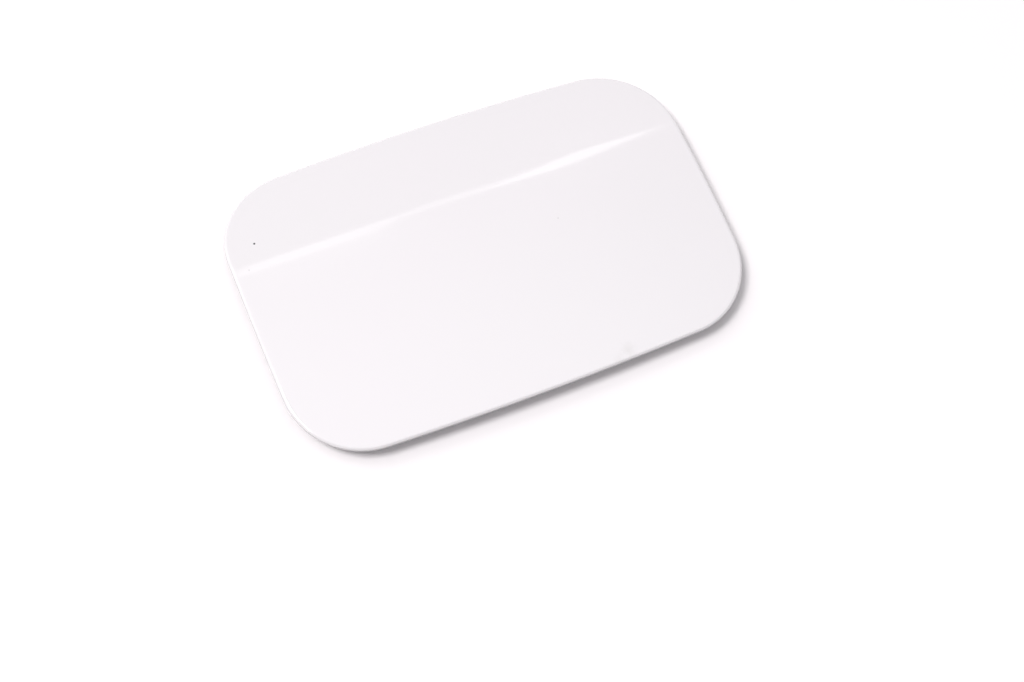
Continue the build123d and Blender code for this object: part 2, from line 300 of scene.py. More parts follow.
def faceHeight(x, y, depth):  # height of the sheet's face, or of the surface that deep under it
    form = skinForm
    slope = math.radians(form["stripAngle"])
    ringZ = crownTop - form["crownRadiusY"]
    ring = form["crownRadiusY"] - depth
    crown = ringZ + np.sqrt(ring**2 - (y - form["crownApexY"]) ** 2)
    strip = creaseZ - (y - creaseY) * math.tan(slope) - depth / math.cos(slope)
    bend = form["creaseRadius"] - depth
    arc = roundZ + np.sqrt(np.maximum(bend**2 - (y - roundY) ** 2, 0))
    fromApex = (roundY - form["crownApexY"]) * ring / (form["crownRadiusY"] - form["creaseRadius"])
    lower = form["crownApexY"] + fromApex
    upper = roundY + bend * math.sin(slope)
    section = np.where(y < lower, crown, np.where(y < upper, arc, strip))
    rollZ = crownTop - form["crownRadiusX"]
    return rollZ + np.sqrt((section - rollZ) ** 2 - x**2)


def sideHalves(form):  # half of the hinge side and half of the crease side, each to its corner's middle
    longRadius = halfWidth**2 / (2 * form["longBow"]) + form["longBow"] / 2
    shortRadius = halfHeight**2 / (2 * form["shortBow"]) + form["shortBow"] / 2
    longCentre = np.array([0.0, halfHeight - longRadius])
    shortCentre = np.array([halfWidth - shortRadius, 0.0])
    gap = shortCentre - longCentre
    span = np.linalg.norm(gap)
    fromLong = longRadius - form["cornerRadius"]
    fromShort = shortRadius - form["cornerRadius"]
    along = (fromLong**2 - fromShort**2 + span**2) / (2 * span)
    aside = math.sqrt(fromLong**2 - along**2)
    corner = longCentre + gap / span * along + np.array([gap[1], -gap[0]]) / span * aside
    shortEnd = math.atan2(*(corner - shortCentre)[::-1])
    longEnd = math.atan2(*(corner - longCentre)[::-1])
    middle = (shortEnd + longEnd) / 2
    halves = []
    for pieces in (
        ((shortCentre, shortRadius, 0.0, shortEnd), (corner, form["cornerRadius"], shortEnd, middle)),
        ((longCentre, longRadius, math.pi / 2, longEnd), (corner, form["cornerRadius"], longEnd, middle)),
    ):
        points, turns = [], []
        for centre, radius, first, last in pieces:
            turn = np.linspace(first, last, form["arcSamples"])
            points.append(centre + radius * np.stack([np.cos(turn), np.sin(turn)], 1))
            turns.append(turn)
        points, turns = np.vstack(points), np.concatenate(turns)
        steps = np.linalg.norm(np.diff(points, axis=0), axis=1)
        halves.append((points, turns, np.concatenate([[0.0], np.cumsum(steps)])))
    return halves


def alongSide(half, distance, flip):  # points and outward normals, mirrored past the side's middle
    points, turns, lengths = half
    reach = np.abs(distance)
    spot = np.stack([np.interp(reach, lengths, points[:, k]) for k in (0, 1)], 1)
    turn = np.interp(reach, lengths, turns)
    outward = np.stack([np.cos(turn), np.sin(turn)], 1)
    sign = np.where(distance < 0, -1.0, 1.0)
    spot[:, flip] *= sign
    outward[:, flip] *= sign
    return spot, outward


def outlineSides(form):  # the four sides, each as points and normals, split at the corners' middles
    short, long = sideHalves(form)
    fine = np.linspace(-short[2][-1], short[2][-1], form["arcSamples"])
    density = 1 + form["creaseRowGain"] * np.exp(-(((fine - creaseY) / form["creaseRowReach"]) ** 2))
    share = np.concatenate([[0.0], np.cumsum((density[1:] + density[:-1]) / 2)])
    rowPlaces = np.interp(np.linspace(0, share[-1], form["rows"] + 1), share, fine)
    columnPlaces = np.linspace(-long[2][-1], long[2][-1], form["columns"] + 1)
    right = alongSide(short, rowPlaces, 1)
    top = alongSide(long, columnPlaces, 0)
    left = tuple(part * np.array([-1.0, 1.0]) for part in right)
    bottom = tuple(part * np.array([1.0, -1.0]) for part in top)
    rowShare = (rowPlaces - rowPlaces[0]) / (rowPlaces[-1] - rowPlaces[0])
    return bottom, right, top, left, rowShare


def coonsGrid(form, sides, inset):  # a grid of points that fills the outline drawn in by the inset
    bottom, right, top, left = [points - inset * outward for points, outward in sides[:4]]
    u = np.linspace(0, 1, form["columns"] + 1)[None, :, None]
    v = sides[4][:, None, None]
    across = (1 - v) * bottom[None] + v * top[None]
    upward = (1 - u) * left[:, None] + u * right[:, None]
    corners = (1 - v) * ((1 - u) * bottom[0] + u * bottom[-1]) + v * ((1 - u) * top[0] + u * top[-1])
    return (across + upward - corners).reshape(-1, 2)


def rimRing(sides, inset):  # the closed outline, drawn in, counterclockwise from the lower left corner
    bottom, right, top, left = [points - inset * outward for points, outward in sides[:4]]
    return np.vstack([bottom, right[1:], top[::-1][1:], left[::-1][1:-1]])


def rimProfile(form):  # (inset, depth) of each ring, from the face over the rim and back under the skin
    band, edge, ease = form["bandInset"], form["edgeRadius"], form["cutEdgeEase"]
    profile = [(inset, 0.0) for inset in np.linspace(band, edge, form["rollSteps"])[1:]]
    turns = np.linspace(0, math.pi / 2, form["rollSteps"] + 1)
    profile += [(edge * (1 - math.sin(t)), edge * (1 - math.cos(t))) for t in turns[1:]]
    low = form["hemStack"]
    profile += [(edge * (1 - math.cos(t)), low - edge * (1 - math.sin(t))) for t in turns]
    profile += [(inset, low) for inset in np.linspace(edge, form["hemWidth"] - ease, form["rollSteps"])[1:]]
    profile += [(form["hemWidth"], low - ease), (form["hemWidth"], form["hemDepth"])]
    profile += [(form["sheet"], form["hemDepth"]), (form["sheet"], form["sheet"])]
    profile += [(inset, form["sheet"]) for inset in np.linspace(form["sheet"], band, form["rollSteps"])[1:]]
    return profile


def rimShade(form, inset, depth):  # how much painted shade sits at a ring of the rim, from 0 to 1
    down = np.interp(depth, form["shadeDepth"], (0.0, 1.0))
    return down * np.interp(inset, form["shadeInset"], (1.0, 0.0))


def buildSkin(form):
    sides = outlineSides(form)
    columns, rows = form["columns"] + 1, form["rows"] + 1
    inside = coonsGrid(form, sides, form["bandInset"])
    faceGrid = np.column_stack([inside, faceHeight(inside[:, 0], inside[:, 1], 0.0)])
    backGrid = np.column_stack([inside, faceHeight(inside[:, 0], inside[:, 1], form["sheet"])])
    cell = np.arange(columns * rows).reshape(rows, columns)
    border = np.concatenate([cell[0], cell[1:, -1], cell[-1, ::-1][1:], cell[::-1, 0][1:-1]])
    vertices, rings, grimeAndShade = [faceGrid], [border], [np.zeros(len(faceGrid))]
    used = len(faceGrid)
    for inset, depth in rimProfile(form)[:-1]:
        ring = rimRing(sides, inset)
        vertices.append(np.column_stack([ring, faceHeight(ring[:, 0], ring[:, 1], depth)]))
        rings.append(np.arange(used, used + len(ring)))
        grimeAndShade.append(np.full(len(ring), rimShade(form, inset, depth)))
        used += len(ring)
    vertices.append(backGrid)
    grimeAndShade.append(np.zeros(len(backGrid)))
    rings.append(border + used)
    quads = np.stack([cell[:-1, :-1], cell[:-1, 1:], cell[1:, 1:], cell[1:, :-1]], -1).reshape(-1, 4)
    faces = quads.tolist() + (quads[:, ::-1] + used).tolist()
    for inner, outer in zip(rings, rings[1:]):
        faces += np.stack([inner, outer, np.roll(outer, -1), np.roll(inner, -1)], 1).tolist()
    mesh = bpy.data.meshes.new("outerSkin")
    mesh.from_pydata((np.vstack(vertices) * mm).tolist(), [], faces)
    # each vertex's share of the painted shade that darkens the rim's under-turn
    layer = mesh.attributes.new("rimShade", "FLOAT", "POINT")
    layer.data.foreach_set("value", np.concatenate(grimeAndShade).astype(np.float32))
    return placeObject("outerSkin", smoothMesh(mesh))


whitePaint = {
    "tint": (0.880, 0.845, 0.879, 1),
    "coolTint": (0.868, 0.846, 0.870, 1),
    "coatRoughness": 0.09,
    "roughness": 0.16,
    "chipRoughness": 0.5,  # added where the paint is gone
    "peelScale": 420.0,  # waves of about 2.5 mm
    "peelStrength": 0.05,
    "peelHeight": 0.00006,
    "driftScale": 11.0,
    "marks": [  # places on the face and sizes in millimetres
        {"kind": "smudge", "spot": (34.6, -57.0), "radius": 0.6, "feather": 5.5, "strength": 0.14},
        {"kind": "smudge", "spot": (29.8, -59.4), "radius": 0.4, "feather": 5.0, "strength": 0.10},
        {"kind": "speck", "spot": (-88.4, 23.8), "radius": 0.2, "feather": 0.35, "strength": 0.3},
        {"kind": "speck", "spot": (31.0, 2.5), "radius": 0.2, "feather": 0.35, "strength": 0.25},
    ],
    "chip": {"spot": (-82.6, 34.0), "radius": 0.32, "feather": 0.30},
    "kinds": {
        "smudge": {"raggedness": 3.4, "grain": 700.0, "colour": (0.36, 0.34, 0.29, 1)},
        "speck": {"raggedness": 0.2, "grain": 3000.0, "colour": (0.20, 0.19, 0.21, 1)},
        "chip": {"raggedness": 0.15, "grain": 4000.0, "colour": (0.02, 0.02, 0.022, 1)},
    },
    # painted shade on the rim's under-turn: how strong it is, and its dark colour
    "rimShade": 0.6,
    "shadeColour": (0.27, 0.26, 0.25, 1),
}


def onFace(spot):  # a point of the painted face, in metres
    x, y = spot
    return (x * mm, y * mm, float(faceHeight(np.array(x), np.array(y), 0.0)) * mm)


def markMask(tree, mark, kind):  # where one mark covers the painted face
    spot = useGroup(
        tree, spotGroup, Centre=onFace(mark["spot"]), Radius=mark["radius"] * mm,
        Feather=mark["feather"] * mm, Raggedness=kind["raggedness"] * mm, Grain=kind["grain"],
    )
    return spot.outputs["Mask"]


def makeWhitePaint(paint):
    material, tree, shader = newMaterial("glossWhitePaint", paint["roughness"])
    shader.inputs["Coat Weight"].default_value = 1.0
    shader.inputs["Coat Roughness"].default_value = paint["coatRoughness"]
    coat = useGroup(tree, coatGroup, Wave_Scale=paint["peelScale"], Drift_Scale=paint["driftScale"])
    colour = mixColours(tree, coat.outputs["Drift"], paint["tint"], paint["coolTint"])
    for mark in paint["marks"]:
        kind = paint["kinds"][mark["kind"]]
        dirt = mathNode(tree, "MULTIPLY", markMask(tree, mark, kind), mark["strength"])
        colour = mixColours(tree, dirt, colour, kind["colour"])
    # painted shade: the rim's under-turn is mixed towards a dark colour, where the shade under the edge
    # falls
    rim = addNode(tree, "ShaderNodeAttribute", attribute_name="rimShade")
    veil = mathNode(tree, "MULTIPLY", rim.outputs["Fac"], paint["rimShade"])
    colour = mixColours(tree, veil, colour, paint["shadeColour"])
    hole = markMask(tree, paint["chip"], paint["kinds"]["chip"])
    colour = mixColours(tree, hole, colour, paint["kinds"]["chip"]["colour"])
    tree.links.new(colour, shader.inputs["Base Color"])
    rough = mathNode(tree, "MULTIPLY", hole, paint["chipRoughness"])
    rough = mathNode(tree, "ADD", rough, paint["roughness"])
    tree.links.new(rough, shader.inputs["Roughness"])
    addBump(tree, shader, coat.outputs["Height"], paint["peelStrength"], paint["peelHeight"])
    return material


outerSkin = buildSkin(skinForm)
dress(outerSkin, makeWhitePaint(whitePaint), "flap", "outer_panel")
print("outer skin:", len(outerSkin.data.polygons), "faces")


# finishes of the pieces behind the skin

innerPaint = {  # a thinner, drier spray of the same white
    "tint": (0.78, 0.77, 0.79, 1),
    "worn": (0.66, 0.665, 0.68, 1),
    "roughness": 0.42,
    "roughnessDip": 0.1,
    "roughnessSpread": 0.25,
    "metallic": 0.0,
    "grimeScale": 38.0,
    "grimeFrom": 0.52,
    "grimeSpread": 0.25,
    "veil": 0.55,
    "peelScale": 700.0,
    "driftScale": 22.0,
    "bump": 0.15,
    "bumpHeight": 0.0001,
}
platedSteel = {  # what the steels have in common
    "roughnessDip": 0.1,
    "roughnessSpread": 0.22,
    "metallic": 1.0,
    "grimeFrom": 0.45,
    "grimeSpread": 0.25,
    "veil": 0.5,
    "bumpHeight": 0.00005,
}
zincPlate = {
    **platedSteel,
    "tint": (0.62, 0.62, 0.60, 1),
    "worn": (0.60, 0.55, 0.40, 1),  # yellowed
    "roughness": 0.36,
    "grimeScale": 90.0,
    "bump": 0.12,
}
rivetSteel = {
    **platedSteel,
    "tint": (0.66, 0.66, 0.66, 1),
    "worn": (0.50, 0.50, 0.50, 1),
    "roughness": 0.30,
    "grimeScale": 160.0,
    "bump": 0.1,
}
pinSteel = {
    **platedSteel,
    "tint": (0.55, 0.55, 0.56, 1),
    "worn": (0.36, 0.36, 0.37, 1),
    "roughness": 0.24,
    "grimeScale": 220.0,
    "bump": 0.08,
}
springSteel = {
    **platedSteel,
    "tint": (0.20, 0.20, 0.22, 1),
    "worn": (0.10, 0.10, 0.11, 1),
    "roughness": 0.40,
    "grimeScale": 300.0,
    "bump": 0.15,
}
blackRubber = {
    "tint": (0.035, 0.035, 0.035, 1),
    "worn": (0.12, 0.115, 0.11, 1),  # dusty
    "roughness": 0.70,
    "roughnessDip": 0.1,
    "roughnessSpread": 0.2,
    "metallic": 0.0,
    "grimeScale": 140.0,
    "grimeFrom": 0.48,
    "grimeSpread": 0.3,
    "veil": 0.4,
    "bump": 0.2,
    "bumpHeight": 0.00008,
}


def makeWornFinish(name, finish):  # a second tone in patches, uneven gloss and a fine relief
    material, tree, shader = newMaterial(name, finish["roughness"], finish["metallic"])
    grimeAndShade = useGroup(
        tree, grimeGroup, Scale=finish["grimeScale"], Threshold=finish["grimeFrom"],
        Spread=finish["grimeSpread"],
    )
    gloss = relief = grimeAndShade.outputs["Grain"]
    if "peelScale" in finish:  # a sprayed coat has its own waviness
        coat = useGroup(tree, coatGroup, Wave_Scale=finish["peelScale"], Drift_Scale=finish["driftScale"])
        gloss = coat.outputs["Drift"]
        relief = coat.outputs["Height"]
    veil = mathNode(tree, "MULTIPLY", grimeAndShade.outputs["Mask"], finish["veil"])
    colour = mixColours(tree, veil, finish["tint"], finish["worn"])
    tree.links.new(colour, shader.inputs["Base Color"])
    rough = mathNode(tree, "MULTIPLY", gloss, finish["roughnessSpread"])
    rough = mathNode(tree, "ADD", rough, finish["roughness"] - finish["roughnessDip"])
    tree.links.new(rough, shader.inputs["Roughness"])
    addBump(tree, shader, relief, finish["bump"], finish["bumpHeight"])
    return material


innerFinish = makeWornFinish("thinInnerPaint", innerPaint)
zincFinish = makeWornFinish("zincPlate", zincPlate)
rivetFinish = makeWornFinish("brightRivet", rivetSteel)
pinFinish = makeWornFinish("drawnPin", pinSteel)
springFinish = makeWornFinish("phosphatedSpring", springSteel)
rubberFinish = makeWornFinish("mouldedRubber", blackRubber)
print("finishes mixed")


# pieces that keep their solid's mesh

for nodeName, material, slot in (
    ("inner_panel", innerFinish, "inner_paint"),
    ("hinge_pin", pinFinish, "pin_steel"),
):
    coverWith(nodes[nodeName], material)


# stamped pieces: copies of their solids with the edges eased

easedEdges = {  # millimetres and degrees
    "weld": 0.002,
    "flatAngle": 0.5,  # triangles that turn less than this are joined again
    "edgeAngle": 40.0,
    "width": 0.14,
    "segments": 2,
}


def bakeModifiers(piece):
    graph = bpy.context.evaluated_depsgraph_get()
    mesh = bpy.data.meshes.new_from_object(piece.evaluated_get(graph))
    piece.modifiers.clear()
    piece.data = mesh
    return piece


def easedCopy(nodeName, pieceName, ease):
    work = bmesh.new()
    work.from_mesh(nodes[nodeName].data)
    bmesh.ops.remove_doubles(work, verts=work.verts, dist=ease["weld"] * mm)
    flat = math.radians(ease["flatAngle"])
    bmesh.ops.dissolve_limit(work, angle_limit=flat, verts=work.verts, edges=work.edges)
    mesh = bpy.data.meshes.new(pieceName)
    work.to_mesh(mesh)
    work.free()
    if "custom_normal" in mesh.attributes:
        mesh.attributes.remove(mesh.attributes["custom_normal"])
    piece = placeObject(pieceName, smoothMesh(mesh, ease["edgeAngle"]))
    bevel = piece.modifiers.new("easedEdges", "BEVEL")
    bevel.width = ease["width"] * mm
    bevel.segments = ease["segments"]
    bevel.limit_method = "ANGLE"
    bevel.angle_limit = math.radians(ease["edgeAngle"])
    bevel.harden_normals = True
    return bakeModifiers(piece)


for nodeName, pieceName, material, body, slot in (
    ("hinge_arm", "hingeArm", zincFinish, "flap", "zinc_steel"),
    ("hinge_base", "hingeBase", zincFinish, "base", "zinc_steel"),
    ("lock_keeper", "lockKeeper", zincFinish, "flap", "zinc_steel"),
    ("pin_clip", "pinClip", springFinish, "base", "spring_steel"),
):
    dress(easedCopy(nodeName, pieceName, easedEdges), material, body, nodeName)
print("stamped pieces eased")


# turned and moulded pieces

def lathe(name, profile, segments):  # profile of (radius, height) in millimetres, closed at both poles
    rings, vertices, faces = [], [], []
    for radius, height in profile:
        if radius == 0:
            rings.append([len(vertices)] * segments)
            vertices.append((0.0, 0.0, height * mm))
            continue
        rings.append(list(range(len(vertices), len(vertices) + segments)))
        for step in range(segments):
            turn = 2 * math.pi * step / segments
            vertices.append((radius * mm * math.cos(turn), radius * mm * math.sin(turn), height * mm))
    for low, high in zip(rings, rings[1:]):
        for step in range(segments):
            after = (step + 1) % segments
            corners = [low[step], low[after], high[after], high[step]]
            faces.append([c for k, c in enumerate(corners) if c not in corners[:k]])
    mesh = bpy.data.meshes.new(name)
    mesh.from_pydata(vertices, [], faces)
    return mesh


def arcOf(centre, radius, first, last, steps):
    turns = [math.radians(first + (last - first) * k / steps) for k in range(steps + 1)]
    return [(centre[0] + radius * math.cos(t), centre[1] + radius * math.sin(t)) for t in turns]


bufferForm = {  # millimetres
    "neck": 2.5,
    "bulb": 3.3,
    "bulbHeight": 1.8,
    "bulbRound": 0.9,
    "bulbSteps": 6,
    "edgeRound": 1.5,
    "edgeSteps": 8,
    "footRound": 0.3,
    "footSteps": 4,
    "pan": 0.7,  # the sheet that the neck goes through
    "ringInner": 2.6,
    "ringOuter": 3.4,
    "ringDepth": 0.3,
    "ringSlope": 0.15,
    "seam": 0.1,
    "seamHalf": 0.25,
    "seamShare": 0.55,  # of the foot's height
    "segments": 64,
}


def makeBuffer(nodeName, pieceName, form):
    low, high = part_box(nodeName)
    radius = (high.x - low.x) / 2 / mm
    bulbTop = (high.z - low.z) / mm
    neckTop = bulbTop - form["bulbHeight"]
    footTop = neckTop - form["pan"]
    seamZ = footTop * form["seamShare"]
    edge, foot, bulbRound = form["edgeRound"], form["footRound"], form["bulbRound"]
    inner, outer, slope = form["ringInner"], form["ringOuter"], form["ringSlope"]
    profile = [(0, 0), (inner, 0), (inner + slope, form["ringDepth"])]
    profile += [(outer - slope, form["ringDepth"]), (outer, 0)]
    profile += arcOf((radius - edge, edge), edge, -90, 0, form["edgeSteps"])
    profile += [(radius, seamZ - form["seamHalf"]), (radius + form["seam"], seamZ)]
    profile += [(radius, seamZ + form["seamHalf"])]
    profile += arcOf((radius - foot, footTop - foot), foot, 0, 90, form["footSteps"])
    profile += [(form["neck"], footTop), (form["neck"], neckTop), (form["bulb"], neckTop)]
    profile += arcOf((form["bulb"] - bulbRound, bulbTop - bulbRound), bulbRound, 0, 90, form["bulbSteps"])
    profile += [(0, bulbTop)]
    mesh = lathe(pieceName, profile, form["segments"])
    mesh.transform(Matrix.Translation(((low.x + high.x) / 2, (low.y + high.y) / 2, low.z)))
    buffer = placeObject(pieceName, smoothMesh(mesh))
    dress(buffer, rubberFinish, "flap", nodeName)


makeBuffer("buffer_upper", "bufferUpper", bufferForm)
makeBuffer("buffer_lower", "bufferLower", bufferForm)
print("buffers turned")


# geometry node helpers

def newTree(name, inputs):
    tree = bpy.data.node_groups.new(name, "GeometryNodeTree")
    for label, kind in inputs:
        tree.interface.new_socket(label, in_out="INPUT", socket_type=kind)
    tree.interface.new_socket("Mesh", in_out="OUTPUT", socket_type="NodeSocketGeometry")
    return tree, addNode(tree, "NodeGroupInput"), addNode(tree, "NodeGroupOutput")


def runTree(name, tree, values):  # the tree's result as one plain mesh piece
    piece = placeObject(name, bpy.data.meshes.new(name))
    modifier = piece.modifiers.new(tree.name, "NODES")
    modifier.node_group = tree
    for item in tree.interface.items_tree:
        if item.in_out == "INPUT":
            modifier[item.identifier] = values[item.name]
    return bakeModifiers(piece)


# rivets: one turned rivet set out in rows

rivetSets = {  # millimetres
    "armRivets": {"node": "arm_rivets", "columns": 2, "rows": 2, "head": 3.5, "headHeight": 1.2,
                  "shank": 2.0, "closing": 3.0, "closingHeight": 0.9},
    "keeperRivets": {"node": "keeper_rivets", "columns": 1, "rows": 2, "head": 2.7, "headHeight": 1.0,
                     "shank": 1.5, "closing": 2.25, "closingHeight": 0.9},
}
rivetForm = {
    "dome": 0.7,  # how much of a head's height is rounded
    "dimple": 0.22,  # share of the head's radius
    "dimpleDepth": 0.12,
    "dimpleFloor": (0.6, 0.8),  # shares of the dimple's radius and depth where its floor ends
    "headSteps": 8,
    "closingSteps": 6,
    "segments": 48,
    "seed": 5,
}


def rivetMaster(name, part, form):  # head down, with the small dimple that the closing tool leaves
    low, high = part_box(part["node"])
    length = (high.z - low.z) / mm
    headRound = part["headHeight"] * form["dome"]
    closingRound = part["closingHeight"] * form["dome"]
    dimple = part["head"] * form["dimple"]
    closingLow = length - part["closingHeight"]
    floorRadius, floorDepth = form["dimpleFloor"]
    profile = [(0, form["dimpleDepth"])]
    profile += [(dimple * floorRadius, form["dimpleDepth"] * floorDepth), (dimple, 0)]
    profile += arcOf((part["head"] - headRound, headRound), headRound, -90, 0, form["headSteps"])
    profile += [(part["head"], part["headHeight"]), (part["shank"], part["headHeight"])]
    profile += [(part["shank"], closingLow), (part["closing"], closingLow)]
    closingCentre = (part["closing"] - closingRound, length - closingRound)
    profile += arcOf(closingCentre, closingRound, 0, 90, form["closingSteps"])
    profile += [(0, length)]
    return placeObject(name, smoothMesh(lathe(name, profile, form["segments"])))


def makeRivetTree():
    tree, given, result = newTree(
        "rivetRows",
        [
            ("Rivet", "NodeSocketObject"),
            ("Columns", "NodeSocketInt"),
            ("Rows", "NodeSocketInt"),
            ("Pitch X", "NodeSocketFloat"),
            ("Pitch Y", "NodeSocketFloat"),
            ("First", "NodeSocketVector"),
            ("Seed", "NodeSocketInt"),
            ("Finish", "NodeSocketMaterial"),
        ],
    )
    count = mathNode(tree, "MULTIPLY", given.outputs["Columns"], given.outputs["Rows"])
    line = addNode(tree, "GeometryNodeMeshLine")
    feed(tree, line, Count=count)
    index = addNode(tree, "GeometryNodeInputIndex").outputs[0]
    column = mathNode(tree, "FLOOR", mathNode(tree, "DIVIDE", index, given.outputs["Rows"]))
    row = mathNode(tree, "MODULO", index, given.outputs["Rows"])
    spot = addNode(tree, "ShaderNodeCombineXYZ")
    feed(tree, spot, X=mathNode(tree, "MULTIPLY", column, given.outputs["Pitch X"]),
         Y=mathNode(tree, "MULTIPLY", row, given.outputs["Pitch Y"]))
    place = addNode(tree, "ShaderNodeVectorMath", operation="ADD")
    feed(tree, place, in0=spot.outputs[0], in1=given.outputs["First"])
    points = addNode(tree, "GeometryNodeSetPosition")
    feed(tree, points, Geometry=line.outputs["Mesh"], Position=place.outputs[0])
    rivet = addNode(tree, "GeometryNodeObjectInfo")
    feed(tree, rivet, Object=given.outputs["Rivet"])
    turn = addNode(tree, "FunctionNodeRandomValue", data_type="FLOAT_VECTOR")
    feed(tree, turn, in0=(0, 0, 0), in1=(0, 0, 2 * math.pi), Seed=given.outputs["Seed"])
    copies = addNode(tree, "GeometryNodeInstanceOnPoints")
    feed(tree, copies, Points=points.outputs[0], Instance=rivet.outputs["Geometry"],
         Rotation=turn.outputs[0])
    plain = addNode(tree, "GeometryNodeRealizeInstances")
    feed(tree, plain, Geometry=copies.outputs[0])
    finish = addNode(tree, "GeometryNodeSetMaterial")
    feed(tree, finish, Geometry=plain.outputs[0], Material=given.outputs["Finish"])
    tree.links.new(finish.outputs[0], result.inputs["Mesh"])
    return tree


rivetTree = makeRivetTree()
for pieceName, part in rivetSets.items():
    low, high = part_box(part["node"])
    master = rivetMaster(pieceName + "Master", part, rivetForm)
    head = part["head"] * mm
    steps = (max(part["columns"] - 1, 1), max(part["rows"] - 1, 1))
    rivets = runTree(pieceName, rivetTree, {
        "Rivet": master,
        "Columns": part["columns"],
        "Rows": part["rows"],
        "Pitch X": (high.x - low.x - 2 * head) / steps[0],
        "Pitch Y": (high.y - low.y - 2 * head) / steps[1],
        "First": (low.x + head, low.y + head, low.z),
        "Seed": rivetForm["seed"],
        "Finish": rivetFinish,
    })
    bpy.data.objects.remove(master)
    dress(rivets, rivetFinish, "flap", part["node"])
print("rivets set")


# hinge spring: a coil round the pin with a straight leg at each end

springForm = {  # millimetres and degrees
    "wire": 0.4,
    "coil": 2.0,
    "pitch": 0.9,
    "turns": 4.5,
    "leg": 11.0,
    "legSlope": 7.0,
    "steps": 420,
    "around": 14,
}


def makeSpringTree():
    tree, given, result = newTree(
        "springWire",
        [
            ("Wire Radius", "NodeSocketFloat"),
            ("Coil Radius", "NodeSocketFloat"),
            ("Pitch", "NodeSocketFloat"),
            ("Turn", "NodeSocketFloat"),
            ("Start", "NodeSocketFloat"),
            ("Leg", "NodeSocketFloat"),
            ("Axis", "NodeSocketVector"),
            ("Steps", "NodeSocketInt"),
            ("Around", "NodeSocketInt"),
            ("Finish", "NodeSocketMaterial"),
        ],
    )
    wire, coil, pitch, turn, start, leg, axis, steps, around, finishSocket = given.outputs[:10]
    lead = mathNode(tree, "DIVIDE", pitch, 2 * math.pi)  # rise along the pin for each radian
    pace = mathNode(tree, "SQRT", mathNode(
        tree, "ADD", mathNode(tree, "MULTIPLY", coil, coil), mathNode(tree, "MULTIPLY", lead, lead)))
    coilLength = mathNode(tree, "MULTIPLY", pace, turn)
    whole = mathNode(tree, "ADD", coilLength, mathNode(tree, "MULTIPLY", leg, 2.0))
    index = addNode(tree, "GeometryNodeInputIndex").outputs[0]
    share = mathNode(tree, "DIVIDE", index, mathNode(tree, "SUBTRACT", steps, 1.0))
    along = mathNode(tree, "SUBTRACT", mathNode(tree, "MULTIPLY", share, whole), leg)
    onCoil = mathNode(tree, "MINIMUM", mathNode(tree, "MAXIMUM", along, 0.0), coilLength)
    past = mathNode(tree, "SUBTRACT", along, onCoil)  # how far out on a leg, negative on the first
    wound = mathNode(tree, "DIVIDE", onCoil, pace)
    angle = mathNode(tree, "ADD", start, wound)
    sine, cosine = mathNode(tree, "SINE", angle), mathNode(tree, "COSINE", angle)
    middle = mathNode(tree, "SUBTRACT", wound, mathNode(tree, "DIVIDE", turn, 2.0))
    stretch = mathNode(tree, "DIVIDE", past, pace)
    legX = mathNode(tree, "MULTIPLY", mathNode(tree, "MULTIPLY", cosine, coil), stretch)
    legZ = mathNode(tree, "MULTIPLY", mathNode(tree, "MULTIPLY", sine, coil), stretch)
    spot = addNode(tree, "ShaderNodeCombineXYZ")
    feed(tree, spot,
         X=mathNode(tree, "ADD", mathNode(tree, "MULTIPLY", sine, coil), legX),
         Y=mathNode(tree, "MULTIPLY", mathNode(tree, "ADD", middle, stretch), lead),
         Z=mathNode(tree, "SUBTRACT", mathNode(tree, "MULTIPLY", cosine, coil), legZ))
    place = addNode(tree, "ShaderNodeVectorMath", operation="ADD")
    feed(tree, place, in0=spot.outputs[0], in1=axis)
    line = addNode(tree, "GeometryNodeMeshLine")
    feed(tree, line, Count=steps)
    bent = addNode(tree, "GeometryNodeSetPosition")
    feed(tree, bent, Geometry=line.outputs["Mesh"], Position=place.outputs[0])
    path = addNode(tree, "GeometryNodeMeshToCurve")
    feed(tree, path, Mesh=bent.outputs[0])
    section = addNode(tree, "GeometryNodeCurvePrimitiveCircle")
    feed(tree, section, Resolution=around, Radius=wire)
    tube = addNode(tree, "GeometryNodeCurveToMesh")
    feed(tree, tube, Curve=path.outputs[0])
    tree.links.new(section.outputs[0], tube.inputs["Profile Curve"])
    tube.inputs["Fill Caps"].default_value = True
    plain = addNode(tree, "GeometryNodeRealizeInstances")
    feed(tree, plain, Geometry=tube.outputs[0])
    finish = addNode(tree, "GeometryNodeSetMaterial")
    feed(tree, finish, Geometry=plain.outputs[0], Material=finishSocket)
    tree.links.new(finish.outputs[0], result.inputs["Mesh"])
    return tree


def makeSpring(form):
    slope = math.radians(form["legSlope"])
    turn = form["turns"] * 2 * math.pi + 2 * slope
    axis = Vector(hinge["pos_m"])
    spring = runTree("hingeSpring", makeSpringTree(), {
        "Wire Radius": form["wire"] * mm,
        "Coil Radius": form["coil"] * mm,
        "Pitch": form["pitch"] * mm,
        "Turn": turn,
        "Start": -slope,
        "Leg": form["leg"] * mm,
        "Axis": axis,
        "Steps": form["steps"],
        "Around": form["around"],
        "Finish": springFinish,
    })
    smoothMesh(spring.data)
    coverWith(spring, springFinish)
    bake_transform(spring)
    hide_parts("hinge_spring")


makeSpring(springForm)
print("spring wound")


# floor, light and camera

floorForm = {  # metres
    "halfSide": 6.0,
    "drop": 0.00002,
    "tint": (0.76, 0.755, 0.75, 1),
    "shownTint": (0.995, 0.963, 0.985, 1),
}


